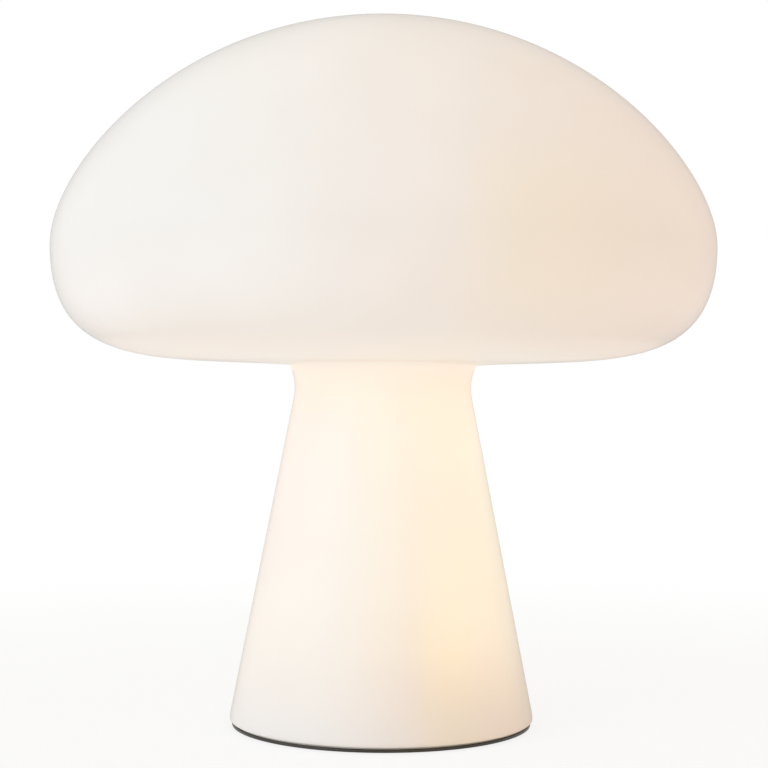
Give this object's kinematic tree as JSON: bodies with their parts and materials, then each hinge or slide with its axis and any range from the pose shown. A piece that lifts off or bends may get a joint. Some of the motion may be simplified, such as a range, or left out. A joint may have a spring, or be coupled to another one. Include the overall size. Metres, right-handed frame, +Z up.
{
  "type": "table lamp",
  "caption": "Mushroom-shaped table lamp: one-piece white opal glass cap and stem on a low dark round base, lit by a bulb hidden in the stem.",
  "frame": {"origin": "on the floor under the middle of the lamp", "axes": "+Z up, the front looks along -Y, the cord inlet is at the back (+Y)"},
  "size_m": [0.22, 0.22, 0.235],
  "materials": {
    "opal_glass": "satin",
    "dark_base": "satin",
    "black_foam": "matte",
    "black_rubber": "matte",
    "milky_silicone": "satin",
    "zinc_steel": "satin",
    "spring_steel": "satin",
    "bright_nickel": "polished",
    "brass": "satin",
    "white_plastic": "satin",
    "black_plastic": "satin",
    "white_ceramic": "gloss",
    "brown_insulation": "satin",
    "blue_insulation": "satin",
    "clear_glass": "polished",
    "black_vitrite": "gloss",
    "solder": "satin",
    "lit_filament": "matte"
  },
  "bodies": {
    "base": {"base_plate": "dark_base", "foot_pad": "black_foam", "glass_gasket": "milky_silicone", "ballast_ring": "zinc_steel", "plate_screws": "zinc_steel", "spring_clip_1": "spring_steel", "spring_clip_2": "spring_steel", "spring_clip_3": "spring_steel", "clip_rivets": "zinc_steel", "inlet_angle": "zinc_steel", "cord_grommet": "black_rubber", "clamp_saddle": "black_plastic", "clamp_bar": "black_plastic", "clamp_screws": "zinc_steel", "terminal_block": "white_plastic", "terminal_sleeves": "brass", "terminal_screws": "bright_nickel", "block_screw": "zinc_steel", "earth_washer": "brass", "earth_screw": "brass", "holder_bridge": "zinc_steel", "bridge_screws": "zinc_steel", "nipple": "brass", "nipple_nut": "zinc_steel", "lock_washer": "spring_steel", "holder_cap": "black_plastic", "holder_insulator": "white_ceramic", "holder_sleeve": "black_plastic", "thread_shell": "brass", "centre_contact": "brass", "holder_posts": "brass", "holder_post_screws": "bright_nickel", "lead_live": "brown_insulation", "lead_neutral": "blue_insulation"},
    "bulb_tip": {"bulb_tip": "solder"},
    "bulb": {"bulb_envelope": "clear_glass", "bulb_cap": "bright_nickel", "bulb_insulator": "black_vitrite", "bulb_stem": "clear_glass", "bulb_filaments": "lit_filament", "bulb_wires": "bright_nickel"},
    "glass": {"glass_body": "opal_glass"}
  },
  "joints": [
    {"name": "glass_lift", "type": "slide", "parent": "base", "child": "glass", "axis": [0, 0, 1], "range_m": [0, 0.14]},
    {"name": "bulb_rise", "type": "slide", "parent": "base", "child": "bulb_tip", "axis": [0, 0, 1], "range_m": [0, 0.0142]},
    {"name": "bulb_turn", "type": "hinge", "parent": "bulb_tip", "child": "bulb", "pos_m": [0, 0, 0.05], "axis": [0, 0, 1], "range_deg": [0, 1800]}
  ],
  "couplings": [
    {"joint": "bulb_rise", "follows": "bulb_turn", "m_per_rad": 0.00044914}
  ]
}
